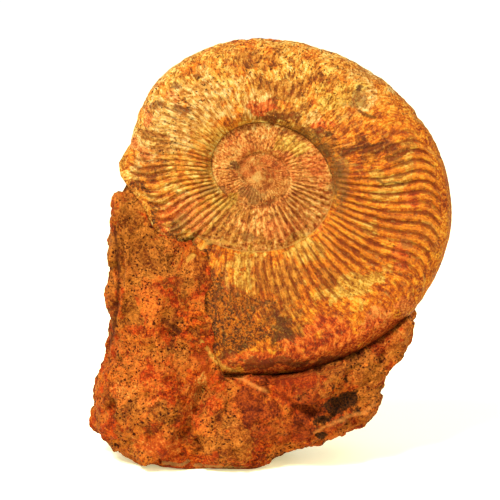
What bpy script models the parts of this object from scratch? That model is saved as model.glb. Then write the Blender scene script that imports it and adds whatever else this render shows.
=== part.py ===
"""Fossil ammonite of the Pseudogrammoceras kind, standing in a block of its host rock.

Two natural pieces are modelled: the ribbed fossil shell, coiled in one plane, and the
rusty rock that clasps its lower half. The origin is on the table, under the middle of the
specimen. +Z is up, the shell's best side faces -Y, and every length is in metres.
"""
import math

import bmesh
import bpy
from mathutils import Vector, noise

# The coil of the shell. Angles are in degrees, clockwise as seen from the front, with
# zero on the right. The last whorl is one full turn, up to the broken mouth.
KEEL_RADIUS = 0.0858
WHORL_EXPANSION = 2.366
UMBILICAL_RATIO = 0.375
COIL_START = -229.0
COIL_END = COIL_START + 360.0
HALF_THICKNESS = 0.0110
SHELL_CENTRE = Vector((-0.0055, 0.0, 0.1308))
SHELL_LEAN = math.radians(6.0)

# The middle of the specimen, measured as above, comes to stand over the origin.
SPECIMEN_MIDDLE = Vector((-0.0008, -0.0011, 0.0))

# Burial flattened the coil a little along one oblique line of its plane.
OVAL_SQUASH = 0.84
OVAL_ANGLE = math.radians(72.8)

# The lower left of the outline is swollen and broken: how much, at which angle.
SWELLING_ANGLE = (-229.0, -221.0, -214.0, -206.0, -196.0, -190.0, -184.0, -178.0, -174.0,
                  -168.0, -155.0, -140.0, -90.0, -60.0)
SWELLING = (0.020, 0.120, 0.140, 0.100, 0.085, 0.110, 0.150, 0.138, 0.095,
            0.025, 0.010, 0.020, 0.012, 0.0)

# Cross-section of a whorl: the share of the way from the umbilical seam to the keel, and
# the half thickness there against the greatest one.
SECTION_SHARE = (0.0, 0.05, 0.09, 0.15, 0.32, 0.50, 0.65, 0.78, 0.88, 0.95, 0.985, 1.0)
SECTION_THICKNESS = (0.30, 0.60, 0.82, 0.94, 1.0, 0.985, 0.92, 0.82, 0.68, 0.46, 0.25, 0.0)

# Sickle-shaped ribs: how many degrees a rib bends at each share of the flank.
RIB_BEND_SHARE = (0.20, 0.43, 0.54, 0.65, 0.73, 0.82, 0.87, 0.93, 0.976, 1.0)
RIB_BEND = (0.0, -1.1, -2.5, -4.0, -5.0, -4.6, -3.2, -0.5, 4.5, 6.0)
RIB_BEND_RISE = 24.0
RIB_BEND_FALL = 16.0
MOUTH_SLANT = 18.0
MOUTH_SLANT_FROM = 60.0
COLUMNS_PER_TURN = 168
COLUMNS_PER_OUTER_RIB = 2
COLUMNS_PER_INNER_RIB = 3
RIB_RELIEF = 0.0012
FRONT_ROWS = (0.0, 0.09, 0.20, 0.42, 0.62, 0.92, 0.975, 1.0)
BACK_ROWS = (0.0, 0.20, 0.60, 0.93, 1.0)

# The worn centre of the coil: the innermost whorls open out of a low button.
BUTTON_OPENING = 110.0
BUTTON_RELIEF = 0.0012

# The host rock, by height above the table: its left and right edge in front view, and
# how far its face and its back stand out.
ROCK_HEIGHT = (0.0, 0.003, 0.007, 0.012, 0.019, 0.026, 0.034, 0.042, 0.050, 0.058,
               0.066, 0.074, 0.082, 0.090, 0.098, 0.106, 0.114, 0.121, 0.125)
ROCK_LEFT = (-0.0520, -0.0655, -0.0750, -0.0812, -0.0816, -0.0822, -0.0815, -0.0788, -0.0746,
             -0.0709, -0.0707, -0.0719, -0.0735, -0.0742, -0.0722, -0.0710, -0.0706, -0.0702,
             -0.0680)
ROCK_RIGHT = (0.0005, 0.0060, 0.0160, 0.0320, 0.0458, 0.0498, 0.0530, 0.0560, 0.0622, 0.0655,
              0.0640, 0.0540, 0.0380, 0.0200, 0.0, -0.0200, -0.0380, -0.0500, -0.0580)
ROCK_FACE = (0.0215, 0.0240, 0.0255, 0.0265, 0.0280, 0.0285, 0.0275, 0.0262, 0.0255, 0.0250,
             0.0248, 0.0246, 0.0242, 0.0232, 0.0208, 0.0178, 0.0150, 0.0120, 0.0060)
ROCK_BACK = (0.0190, 0.0215, 0.0235, 0.0250, 0.0262, 0.0270, 0.0275, 0.0278, 0.0280, 0.0282,
             0.0284, 0.0285, 0.0284, 0.0280, 0.0270, 0.0255, 0.0235, 0.0200, 0.0140)
ROCK_FACE_POINTS = 28
ROCK_BACK_POINTS = 14
ROCK_RINGS = 25
ROCK_RING_CROWDING = 1.2
ROCK_SQUARENESS = 3.2
ROCK_LUMP_SIZE = 0.026
ROCK_LUMP_RELIEF = 0.0040
ROCK_CHIP_SIZE = 0.012
ROCK_CHIP_RELIEF = 0.0026

# Single lumps, ridges and hollows of the rock's face: place across, height above the
# table, half length, half width, slope in degrees, and how far the face stands out.
ROCK_FEATURES = (
    (-0.056, 0.030, 0.019, 0.016, 60.0, 0.0042),
    (-0.035, 0.026, 0.013, 0.0045, 65.0, -0.0052),
    (-0.050, 0.012, 0.013, 0.0050, 42.0, 0.0032),
    (-0.035, 0.007, 0.006, 0.0050, 0.0, -0.0032),
    (-0.009, 0.029, 0.010, 0.0080, 70.0, -0.0042),
    (-0.014, 0.014, 0.011, 0.0100, 0.0, 0.0034),
    (0.017, 0.034, 0.012, 0.0040, 25.0, 0.0034),
    (0.010, 0.028, 0.006, 0.0035, 20.0, -0.0034),
    (0.024, 0.023, 0.012, 0.0080, 20.0, 0.0022),
    (0.031, 0.033, 0.008, 0.0060, 0.0, -0.0034),
    (0.045, 0.044, 0.009, 0.0060, 30.0, -0.0032),
    (-0.004, 0.040, 0.010, 0.0040, -30.0, 0.0028),
    (-0.052, 0.062, 0.016, 0.0100, 80.0, 0.0024),
    (-0.060, 0.098, 0.016, 0.0080, 75.0, 0.0024),
)

# The seat in the rock, a little larger than the shell and open to the front, except
# where the rock still covers the broken mouth.
SEAT_CLEARANCE = 0.0006
SEAT_ROWS = (0.12, 0.32, 0.50, 0.65, 0.80, 0.90, 0.96, 1.0)
SEAT_COLUMNS_OPEN = 56
SEAT_COLUMNS_COVERED = 4
SEAT_OPEN_DEPTH = 0.060
SEAT_END_MARGIN = 1.2
COVER_SHARE = (0.0, 0.20, 0.50, 1.0)
COVER_ANGLE = (126.0, 115.0, 110.0, 100.0)
COVER_EDGE_WIDTH = 1.0
CREVICE_WIDTH = 0.0016
CREVICE_FROM = 28.0
CREVICE_TO = 96.0
CREVICE_FADE = 10.0

AMMONITE_COLOUR = (0.68, 0.37, 0.12, 1.0)
ROCK_COLOUR = (0.46, 0.16, 0.05, 1.0)
STONE_ROUGHNESS = 0.8

OVERLAP_SHARE = UMBILICAL_RATIO * (WHORL_EXPANSION - 1.0) / (1.0 - UMBILICAL_RATIO)


def interpolate(x, xs, ys):
    """Straight-line reading of a value between the given points."""
    if x <= xs[0]:
        return ys[0]
    for i in range(1, len(xs)):
        if x <= xs[i]:
            share = (x - xs[i - 1]) / (xs[i] - xs[i - 1])
            return ys[i - 1] + (ys[i] - ys[i - 1]) * share
    return ys[-1]


def smooth_step(x, low, high):
    """0 below low, 1 above high, and a smooth rise between them."""
    t = min(1.0, max(0.0, (x - low) / (high - low)))
    return t * t * (3.0 - 2.0 * t)


def growth(angle):
    """Size of the whorl at this angle, against its size at angle zero."""
    return WHORL_EXPANSION ** (angle / 360.0)


def coil_point(angle, share, depth, extra_radius=0.0):
    """The point at an angle of the coil, a share of the flank and a depth from its plane."""
    swelling = 1.0 + share * interpolate(angle, SWELLING_ANGLE, SWELLING)
    ratio = UMBILICAL_RATIO + share * (1.0 - UMBILICAL_RATIO)
    radius = KEEL_RADIUS * growth(angle) * ratio * swelling + extra_radius
    across = radius * math.cos(math.radians(angle))
    up = -radius * math.sin(math.radians(angle))
    squash = (1.0 - OVAL_SQUASH) * (across * math.cos(OVAL_ANGLE) + up * math.sin(OVAL_ANGLE))
    across -= squash * math.cos(OVAL_ANGLE)
    up -= squash * math.sin(OVAL_ANGLE)
    back = depth * math.cos(SHELL_LEAN) + up * math.sin(SHELL_LEAN)
    rise = up * math.cos(SHELL_LEAN) - depth * math.sin(SHELL_LEAN)
    return SHELL_CENTRE + Vector((across, back, rise)) - SPECIMEN_MIDDLE


def flank_depth(angle, share):
    """Half thickness of the whorl between its ribs and its troughs."""
    return HALF_THICKNESS * growth(angle) * interpolate(share, SECTION_SHARE, SECTION_THICKNESS)


def rib_height(column, share):
    """Crest or trough of the rib at this column, fading at the seam and the keel."""
    last_whorl = column >= 0
    spacing = COLUMNS_PER_OUTER_RIB if last_whorl else COLUMNS_PER_INNER_RIB
    fade = smooth_step(share, 0.02, 0.22) * (1.0 - smooth_step(share, 0.90, 0.99))
    return RIB_RELIEF * fade * (0.5 if column % spacing == 0 else -0.5)


def rib_bend(angle, share):
    """How far the rib has swept along the coil at this share of the flank."""
    rise = smooth_step(angle, COIL_START, COIL_START + RIB_BEND_RISE)
    fall = 1.0 - smooth_step(angle, COIL_END - RIB_BEND_FALL, COIL_END)
    slant = MOUTH_SLANT * share * smooth_step(angle, COIL_END - MOUTH_SLANT_FROM, COIL_END)
    return rise * fall * interpolate(share, RIB_BEND_SHARE, RIB_BEND) - slant


def add_face(mesh, corners):
    """Add a face, leaving out corners that fall together."""
    distinct = []
    for corner in corners:
        if corner not in distinct:
            distinct.append(corner)
    if len(distinct) > 2:
        mesh.faces.new(distinct)


def build_flank(mesh, side, rows, keel):
    """One side of the coil. Column 0 is where the last whorl starts, and each whorl's
    seam is the line that it covers on the whorl inside it."""
    turn = COLUMNS_PER_TURN
    step = 360.0 / turn
    rows = sorted(rows + (OVERLAP_SHARE,))
    inner_rows = [share for share in rows if share <= OVERLAP_SHARE]
    grid = {}
    for column in range(-turn, turn + 1):
        angle = COIL_START + column * step
        opening = smooth_step(column * step, -360.0, -360.0 + BUTTON_OPENING)
        for share in (rows if column >= 0 else inner_rows):
            if column >= 0 and share == 0.0:
                grid[column, share] = grid[column - turn, OVERLAP_SHARE]
            elif column in keel and share == 1.0:
                grid[column, share] = keel[column]
            else:
                place = share
                if column < 0:
                    place = OVERLAP_SHARE - (OVERLAP_SHARE - share) * opening
                depth = flank_depth(angle, place) + opening * rib_height(column, place)
                bend = rib_bend(angle, place) if column >= 0 else 0.0
                corner = coil_point(angle + bend, place, side * depth)
                grid[column, share] = mesh.verts.new(corner)
        if column == -turn:
            for share in inner_rows:
                grid[column, share] = grid[column, OVERLAP_SHARE]
        if column >= 0:
            keel[column] = grid[column, 1.0]
    for column in range(-turn, turn):
        line = rows if column >= 0 else inner_rows
        for low, high in zip(line, line[1:]):
            add_face(mesh, (grid[column, low], grid[column + 1, low],
                            grid[column + 1, high], grid[column, high]))
    build_button(mesh, side, [grid[column, 0.0] for column in range(-turn + 1, 1)])
    mouth = [grid[turn, share] for share in rows]
    covered_start = [grid[0, share] for share in rows[len(inner_rows):]]
    return mouth, covered_start


def build_button(mesh, side, rim):
    """The worn centre, inside the seam of the inner whorl."""
    centre = sum((corner.co for corner in rim), Vector()) / len(rim)
    raised = centre + Vector((0.0, side * BUTTON_RELIEF, 0.0))
    ring = [mesh.verts.new(raised.lerp(corner.co, 0.5)) for corner in rim]
    middle = mesh.verts.new(raised)
    for i in range(len(rim)):
        j = (i + 1) % len(rim)
        add_face(mesh, (rim[i], rim[j], ring[j], ring[i]))
        add_face(mesh, (ring[i], ring[j], middle))


def build_ammonite():
    """The fossil shell, one closed body."""
    mesh = bmesh.new()
    keel = {}
    front_mouth, front_start = build_flank(mesh, -1.0, FRONT_ROWS, keel)
    back_mouth, back_start = build_flank(mesh, 1.0, BACK_ROWS, keel)
    rim = front_mouth + back_mouth[-2::-1] + back_start + front_start[-2::-1]
    apex = keel[0]
    for i in range(len(rim)):
        if apex not in (rim[i - 1], rim[i]):
            add_face(mesh, (apex, rim[i - 1], rim[i]))
    bmesh.ops.triangulate(mesh, faces=mesh.faces[:])
    bmesh.ops.recalc_face_normals(mesh, faces=mesh.faces[:])
    return finish_object("ammonite", mesh, AMMONITE_COLOUR)


def cover_angle(share):
    """Where the rock starts to cover the mouth of the shell, on each line of the flank."""
    return interpolate(share, COVER_SHARE, COVER_ANGLE)


def seat_corner(angle, share):
    """Half depth of the seat and its reach past the shell, at one place."""
    depth = flank_depth(angle, share) + 0.5 * RIB_RELIEF + SEAT_CLEARANCE
    crevice = smooth_step(angle, CREVICE_FROM, CREVICE_FROM + CREVICE_FADE)
    crevice *= 1.0 - smooth_step(angle, CREVICE_TO - CREVICE_FADE, CREVICE_TO)
    reach = SEAT_CLEARANCE + CREVICE_WIDTH * crevice * smooth_step(share, 0.85, 1.0)
    return depth, reach


def seat_column(mesh, angles, shares, is_open):
    """Front and back corners of the seat at one column, from its inner line to the keel."""
    front = []
    back = []
    for angle, share, row in zip(angles, shares, SEAT_ROWS):
        depth, reach = seat_corner(angle, row)
        front_depth = SEAT_OPEN_DEPTH if is_open else depth
        front.append(mesh.verts.new(coil_point(angle, share, -front_depth, reach)))
        back.append(mesh.verts.new(coil_point(angle, share, depth, reach)))
    return front, back


def seat_columns(mesh):
    """All columns of the seat: the open turn, the covered mouth, and the step inwards to
    the keel of the first whorl."""
    start = COIL_START + 2.0 * SEAT_END_MARGIN
    cover = [cover_angle(share) for share in SEAT_ROWS]
    mouth = [COIL_END + SEAT_END_MARGIN - MOUTH_SLANT * share for share in SEAT_ROWS]
    columns = []
    for i in range(SEAT_COLUMNS_OPEN + 1):
        way = i / SEAT_COLUMNS_OPEN
        angles = [start + (edge - start) * way for edge in cover]
        columns.append(seat_column(mesh, angles, SEAT_ROWS, True))
    for i in range(SEAT_COLUMNS_COVERED + 1):
        way = i / SEAT_COLUMNS_COVERED
        angles = [edge + COVER_EDGE_WIDTH + (end - edge - COVER_EDGE_WIDTH) * way
                  for edge, end in zip(cover, mouth)]
        columns.append(seat_column(mesh, angles, SEAT_ROWS, False))
    step_angles = [COIL_START + 1.5 * SEAT_END_MARGIN] * len(SEAT_ROWS)
    step_shares = [1.0] * len(SEAT_ROWS)
    columns.append(seat_column(mesh, step_angles, step_shares, False))
    return columns


def build_seat():
    """The hollow that the rock keeps for the shell, as a cutting body."""
    mesh = bmesh.new()
    columns = seat_columns(mesh)
    to_centre = -KEEL_RADIUS * UMBILICAL_RATIO
    front_middle = mesh.verts.new(coil_point(0.0, 0.0, -SEAT_OPEN_DEPTH, to_centre))
    back_middle = mesh.verts.new(coil_point(0.0, 0.0, HALF_THICKNESS, to_centre))
    for (front, back), (next_front, next_back) in zip(columns, columns[1:] + columns[:1]):
        for line, next_line, middle in ((front, next_front, front_middle),
                                        (back, next_back, back_middle)):
            for i in range(len(SEAT_ROWS) - 1):
                add_face(mesh, (line[i], next_line[i], next_line[i + 1], line[i + 1]))
            add_face(mesh, (middle, next_line[0], line[0]))
        add_face(mesh, (front[-1], next_front[-1], next_back[-1], back[-1]))
    bmesh.ops.triangulate(mesh, faces=mesh.faces[:])
    bmesh.ops.recalc_face_normals(mesh, faces=mesh.faces[:])
    seat = finish_object("seat_cutter", mesh, ROCK_COLOUR)
    seat.hide_render = True
    seat.display_type = "WIRE"
    return seat


def rock_section(height):
    """Left, right, face and back of the rock at this height."""
    lines = (ROCK_LEFT, ROCK_RIGHT, ROCK_FACE, ROCK_BACK)
    return [interpolate(height, ROCK_HEIGHT, line) for line in lines]


def face_features(x, z):
    """How far the single lumps, ridges and hollows move the rock's face at this place."""
    total = 0.0
    for across, height, half_length, half_width, slope, relief in ROCK_FEATURES:
        way = math.radians(slope)
        along = (x - across) * math.cos(way) + (z - height) * math.sin(way)
        aside = (z - height) * math.cos(way) - (x - across) * math.sin(way)
        total += relief * math.exp(-(along / half_length) ** 2 - (aside / half_width) ** 2)
    return total


def rock_point(height, place, side):
    """A point of the rock's side at this height. Place runs from -1, on the left, to 1."""
    left, right, face, back = rock_section(height)
    across = math.sin(0.5 * math.pi * place)
    out = max(0.0, 1.0 - abs(across) ** ROCK_SQUARENESS) ** (1.0 / ROCK_SQUARENESS)
    x = 0.5 * (left + right) + 0.5 * (right - left) * across
    reach = back if side > 0.0 else face + face_features(x, height)
    spot = Vector((x, side * reach * out, height))
    bump = ROCK_LUMP_RELIEF * noise.noise(spot / ROCK_LUMP_SIZE)
    bump += ROCK_CHIP_RELIEF * noise.noise(spot / ROCK_CHIP_SIZE)
    outward = Vector((across, side * out, 0.0)).normalized()
    return spot + outward * bump - SPECIMEN_MIDDLE


def build_rock():
    """The host rock with the shell's seat cut into it, one closed body."""
    mesh = bmesh.new()
    around = [(2.0 * i / ROCK_FACE_POINTS - 1.0, -1.0) for i in range(ROCK_FACE_POINTS + 1)]
    around += [(1.0 - 2.0 * i / ROCK_BACK_POINTS, 1.0) for i in range(1, ROCK_BACK_POINTS)]
    rings = []
    for i in range(ROCK_RINGS):
        height = ROCK_HEIGHT[-1] * (i / (ROCK_RINGS - 1)) ** ROCK_RING_CROWDING
        rings.append([mesh.verts.new(rock_point(height, place, side)) for place, side in around])
    for low, high in zip(rings, rings[1:]):
        for i in range(len(around)):
            mesh.faces.new((low[i - 1], low[i], high[i], high[i - 1]))
    mesh.faces.new(rings[0][::-1])
    mesh.faces.new(rings[-1])
    bmesh.ops.triangulate(mesh, faces=mesh.faces[:])
    bmesh.ops.recalc_face_normals(mesh, faces=mesh.faces[:])
    rock = finish_object("matrix_rock", mesh, ROCK_COLOUR)
    cut = rock.modifiers.new("seat", "BOOLEAN")
    cut.operation = "DIFFERENCE"
    cut.solver = "EXACT"
    cut.object = build_seat()
    return rock


def finish_object(name, mesh, colour):
    """Turn the working mesh into a named object with its own stone material."""
    data = bpy.data.meshes.new(name)
    mesh.to_mesh(data)
    mesh.free()
    material = bpy.data.materials.new(name + "_stone")
    material.use_nodes = True
    shader = material.node_tree.nodes["Principled BSDF"]
    shader.inputs["Base Color"].default_value = colour
    shader.inputs["Roughness"].default_value = STONE_ROUGHNESS
    shader.inputs["Metallic"].default_value = 0.0
    material.diffuse_color = colour
    data.materials.append(material)
    made = bpy.data.objects.new(name, data)
    bpy.context.collection.objects.link(made)
    return made


def clear_scene():
    """Start from an empty scene."""
    for old in list(bpy.data.objects):
        bpy.data.objects.remove(old, do_unlink=True)


clear_scene()
build_ammonite()
build_rock()
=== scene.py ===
"""The looks of a fossil ammonite in its host rock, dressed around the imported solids."""
import math

import bpy
import numpy as np
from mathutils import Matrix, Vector, noise
from mathutils.bvhtree import BVHTree


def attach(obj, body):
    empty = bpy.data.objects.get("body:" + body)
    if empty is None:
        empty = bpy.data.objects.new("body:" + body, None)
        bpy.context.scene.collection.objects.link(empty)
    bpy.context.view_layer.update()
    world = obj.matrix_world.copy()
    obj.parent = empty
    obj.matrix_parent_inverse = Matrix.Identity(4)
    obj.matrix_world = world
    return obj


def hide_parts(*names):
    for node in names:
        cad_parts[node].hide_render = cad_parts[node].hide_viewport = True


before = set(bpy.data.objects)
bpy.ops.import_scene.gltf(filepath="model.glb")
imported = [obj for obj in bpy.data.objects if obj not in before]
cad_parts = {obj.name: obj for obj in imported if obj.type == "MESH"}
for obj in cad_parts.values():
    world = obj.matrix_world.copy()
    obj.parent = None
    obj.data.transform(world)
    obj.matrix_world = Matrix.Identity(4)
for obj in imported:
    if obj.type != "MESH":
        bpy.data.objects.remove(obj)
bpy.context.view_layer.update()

MM = 0.001

# The unevenness of the stone is the same in every run.
noise.seed_set(9)

# The camera: straight on, a little above, at the distance of a close product photo.
CAMERA_AIM = Vector((-0.0089, 0.0011, 0.0960))
CAMERA_DISTANCE = 0.85
CAMERA_RISE = math.radians(10.0)
VIEW_WIDTH = 0.225
SENSOR_WIDTH = 36.0

# The coil of the shell, as in the solids. Angles are in degrees, clockwise as seen from
# the front, with zero on the right; share runs from the seam (0) to the keel (1).
KEEL_RADIUS = 0.0858
WHORL_EXPANSION = 2.366
UMBILICAL_RATIO = 0.375
COIL_START = -229.0
COIL_END = COIL_START + 360.0
HALF_THICKNESS = 0.0110
COIL_CENTRE = np.array((-0.0047, 0.0011, 0.1308))
SHELL_LEAN = math.radians(6.0)
OVAL_SQUASH = 0.84
OVAL_ANGLE = math.radians(72.8)
SWELLING_ANGLE = (-229.0, -221.0, -214.0, -206.0, -196.0, -190.0, -184.0, -178.0, -174.0,
                  -168.0, -155.0, -140.0, -90.0, -60.0)
SWELLING = (0.020, 0.120, 0.140, 0.100, 0.085, 0.110, 0.150, 0.138, 0.095,
            0.025, 0.010, 0.020, 0.012, 0.0)
OVERLAP_SHARE = UMBILICAL_RATIO * (WHORL_EXPANSION - 1.0) / (1.0 - UMBILICAL_RATIO)
SECTION_SHARE = (0.0, 0.04, 0.085, 0.15, 0.32, 0.50, 0.65, 0.78, 0.88, 0.95, 0.972, 0.983,
                 0.990, 0.996, 1.0)
SECTION_THICKNESS = (0.325, 0.60, 0.84, 0.95, 1.0, 0.985, 0.92, 0.82, 0.68, 0.46, 0.33, 0.16,
                     0.125, 0.09, 0.0)
RIB_BEND_SHARE = (0.20, 0.43, 0.54, 0.65, 0.73, 0.82, 0.87, 0.93, 0.976, 1.0)
RIB_BEND = (0.0, -1.1, -2.5, -4.0, -5.0, -4.6, -3.2, -0.5, 4.5, 6.0)
RIB_BEND_RISE = 24.0
RIB_BEND_FALL = 16.0
MOUTH_SLANT = 18.0
MOUTH_SLANT_FROM = 60.0
BUTTON_OPENING = 110.0

# Where the first ribs of the last whorl are pressed flat and run level into the rock.
PRESSED_FROM = -223.0
PRESSED_TO = -192.0
PRESSED_END = -176.0

# Ribs in a full turn along the coil, and their height from crest to trough in millimetres.
RIB_COUNT_ANGLE = (-589.0, -250.0, -225.0, -205.0, -185.0, 131.0)
RIB_COUNT = (56.0, 58.0, 68.0, 70.0, 84.0, 84.0)
RIB_HEIGHT_ANGLE = (-589.0, -500.0, -450.0, -350.0, -338.0, -295.0, -280.0, -240.0, -229.0,
                    -205.0, -190.0, -165.0, -150.0, -125.0, -105.0, -85.0, -40.0, -22.0,
                    -8.0, 40.0, 55.0, 75.0, 100.0, 131.0)
RIB_HEIGHT = (0.10, 0.30, 0.38, 0.52, 1.25, 1.30, 0.60, 0.50, 0.85,
              1.05, 0.95, 0.80, 0.70, 0.58, 0.50, 0.42, 0.45, 0.85,
              1.20, 1.25, 1.05, 0.95, 0.60, 0.30)

# Rows of faces from the seam to the keel; the inner whorl uses those up to its overlap.
COLUMNS = 504
FRONT_ROWS = (54, 66, 72)
BACK_ROWS = (14, 18, 20)
ROW_SHARE = (OVERLAP_SHARE, 0.94, 1.0)
FRONT_CORE_ROWS = 12
BACK_CORE_ROWS = 5
SHELL_WELD = 0.02 * MM

# From where to where the ribs fade towards the mouth.
FADING_RIBS = (32.0, 54.0)

# The rock: its faces, its seat on the shell, and the skin of shell in front of its edge.
ROCK_GRAIN = 0.8 * MM
ROCK_WELD = 0.01 * MM
CONTACT_GAP = 0.05 * MM
SKIN = 0.22 * MM
FAR_IN_FRONT = -90.0 * MM
FAR_FROM_SHELL = 5.0 * MM

# Where its solid is thin over the shell, across and up, and how much thicker it is made.
THIN_ACROSS = (-62.0 * MM, -50.0 * MM, -26.0 * MM, -18.0 * MM)
THIN_UP = (40.0 * MM, 60.0 * MM)
THIN_FRONT = -12.0 * MM
THICKENING = 2.0 * MM

# Chips of the broken stone: height and size in millimetres, and their seed.
ROCK_CHIPS = ((2.6, 17.0, 1.0), (1.5, 7.5, 2.0))
CHIP_LIMIT = 1.3


def deselect_all():
    """Nothing selected and nothing active, in object mode."""
    if bpy.context.mode != "OBJECT":
        bpy.ops.object.mode_set(mode="OBJECT")
    bpy.ops.object.select_all(action="DESELECT")
    bpy.context.view_layer.objects.active = None


def choose(piece):
    """Select this piece alone and make it active."""
    deselect_all()
    piece.select_set(True)
    bpy.context.view_layer.objects.active = piece


def edit_all(piece):
    """Open a piece for editing with all of it selected."""
    choose(piece)
    bpy.ops.object.mode_set(mode="EDIT")
    bpy.ops.mesh.select_all(action="SELECT")


def apply_modifier(piece, modifier):
    """Apply one modifier to its piece."""
    choose(piece)
    bpy.ops.object.modifier_apply(modifier=modifier.name)


def read_points(piece):
    """All corners of a piece as an array of places."""
    flat = np.empty(len(piece.data.vertices) * 3, np.float32)
    piece.data.vertices.foreach_get("co", flat)
    return flat.reshape(-1, 3).astype(float)


def read_normals(piece):
    """The outward direction at each corner of a piece."""
    flat = np.empty(len(piece.data.vertices) * 3, np.float32)
    piece.data.vertices.foreach_get("normal", flat)
    return flat.reshape(-1, 3).astype(float)


def write_points(piece, points):
    """Put the corners of a piece at new places."""
    piece.data.vertices.foreach_set("co", np.asarray(points, np.float32).ravel())
    piece.data.update()


def read_mask(piece, name):
    """One kept value per corner."""
    values = np.empty(len(piece.data.vertices), np.float32)
    piece.data.attributes[name].data.foreach_get("value", values)
    return values.astype(float)


def write_mask(piece, name, values):
    """Keep one value per corner for the materials to read."""
    mask = piece.data.attributes.get(name) or piece.data.attributes.new(name, "FLOAT", "POINT")
    mask.data.foreach_set("value", np.asarray(values, np.float32))


def smooth_step(x, low, high):
    """0 below low, 1 above high, and a smooth rise between them."""
    t = np.clip((np.asarray(x, float) - low) / (high - low), 0.0, 1.0)
    return t * t * (3.0 - 2.0 * t)


def between(x, rise_from, rise_to, fall_from, fall_to):
    """0 outside a range, 1 inside it, and smooth slopes at both ends."""
    return smooth_step(x, rise_from, rise_to) * (1.0 - smooth_step(x, fall_from, fall_to))


def lumpy(points, size, octaves=3, seed=0.0):
    """Soft natural unevenness, about -1 to 1, of this size, at each place."""
    shift = Vector((seed, 1.7 * seed, 2.3 * seed))
    return np.array([noise.fractal(Vector(p) / size + shift, 1.0, 2.0, octaves) for p in points])


def chipped(points, size, seed=0.0):
    """Flat tilted chips of this size with steps between them, about -1 to 1."""
    shift = Vector((seed, 1.7 * seed, 2.3 * seed))
    heights = []
    for p in points:
        place = Vector(p) / size + shift
        place += 0.25 * noise.noise_vector(place * 2.0)
        seat = noise.voronoi(place)[1][0]
        tilt = noise.cell_vector(seat * 7.0) * 2.0 - Vector((1.0, 1.0, 1.0))
        heights.append((place - seat).dot(tilt))
    return np.array(heights)


def growth(angle):
    """Size of the whorl at this angle, against its size at angle zero."""
    return WHORL_EXPANSION ** (np.asarray(angle, float) / 360.0)


def section(share):
    """Half thickness of the whorl at this share of its flank, against its thickest."""
    return np.interp(share, SECTION_SHARE, SECTION_THICKNESS)


def coil_plane(angle, share):
    """Place across and up in the plane of the coil."""
    swelling = 1.0 + share * np.interp(angle, SWELLING_ANGLE, SWELLING)
    ratio = UMBILICAL_RATIO + share * (1.0 - UMBILICAL_RATIO)
    radius = KEEL_RADIUS * growth(angle) * ratio * swelling
    across = radius * np.cos(np.radians(angle))
    up = -radius * np.sin(np.radians(angle))
    along = across * math.cos(OVAL_ANGLE) + up * math.sin(OVAL_ANGLE)
    across = across - (1.0 - OVAL_SQUASH) * along * math.cos(OVAL_ANGLE)
    up = up - (1.0 - OVAL_SQUASH) * along * math.sin(OVAL_ANGLE)
    return across, up


def stand_up(across, up, depth):
    """From the plane of the coil to the standing specimen."""
    y = depth * math.cos(SHELL_LEAN) + up * math.sin(SHELL_LEAN)
    z = up * math.cos(SHELL_LEAN) - depth * math.sin(SHELL_LEAN)
    return np.stack((across, y, z), axis=1) + COIL_CENTRE


def rib_turns(angle):
    """How many ribs lie between the start of the coil and this angle."""
    steps = np.linspace(-2100.0, 140.0, 8961)
    density = np.interp(steps, RIB_COUNT_ANGLE, RIB_COUNT) / 360.0
    total = np.concatenate(([0.0], np.cumsum(0.5 * (density[1:] + density[:-1]) * np.diff(steps))))
    return np.interp(angle, steps, total)


def rib_bend(angle, share):
    """How far a rib has swept along the coil at this share of the flank."""
    rise = smooth_step(angle, COIL_START, COIL_START + RIB_BEND_RISE)
    fall = 1.0 - smooth_step(angle, COIL_END - RIB_BEND_FALL, COIL_END)
    slant = MOUTH_SLANT * share * smooth_step(angle, COIL_END - MOUTH_SLANT_FROM, COIL_END)
    return rise * fall * np.interp(share, RIB_BEND_SHARE, RIB_BEND) - slant


def crusted(angle, share):
    """Where a crust lies over the inner half of the ribs, on the upper right."""
    return between(angle, -75, -50, -10, 6) * (1.0 - smooth_step(share, 0.42, 0.62))


def rib_strength(angle, share):
    """Height of the ribs in millimetres, from crest to trough."""
    height = np.interp(angle, RIB_HEIGHT_ANGLE, RIB_HEIGHT)
    height = height * (1.0 - 0.7 * (angle < COIL_START) * smooth_step(share, 0.72, OVERLAP_SHARE))
    worn = between(angle, -120, -95, -30, -10) + smooth_step(angle, *FADING_RIBS)
    height = height * (1.0 - 0.75 * worn * smooth_step(share, 0.40, 0.62))
    height = height * (1.0 - 0.60 * crusted(angle, share))
    return height * smooth_step(share, 0.0, 0.10) * (1.0 - smooth_step(share, 0.85, 0.94))


def rib_wave(angle, share):
    """Crest and trough of the ribs, between -1 and 1, with natural unevenness."""
    spots = np.stack((angle / 20.0, share * 1.3, share * 0.0), axis=1)
    turn = 2.0 * math.pi * rib_turns(angle) + 0.6 * lumpy(spots, 1.0, 2, 3.1)
    wave = np.cos(turn)
    return np.sign(wave) * np.abs(wave) ** 0.85 + 0.12 * np.cos(3.0 * turn + 1.0)


def surface_depth(angle, share):
    """Half thickness with the ribs on it, and the height of the ribs there."""
    uneven = np.stack((angle / 9.0, share * 4.0, share * 0.0 + 5.0), axis=1)
    relief = 0.5 * rib_strength(angle, share) * rib_wave(angle, share)
    relief = relief * (1.0 + 0.50 * lumpy(uneven, 1.0, 2))
    sunk = 0.8 * smooth_step(angle, 112.0, 128.0) * smooth_step(share, 0.2, 0.5)
    pressed = between(angle, COIL_START, PRESSED_FROM, PRESSED_TO, PRESSED_END)
    smooth = HALF_THICKNESS * growth(angle) * section(share * (1.0 - 0.24 * pressed))
    return smooth + (relief - sunk * np.minimum(1.0, smooth / (4.0 * MM))) * MM, relief


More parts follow.
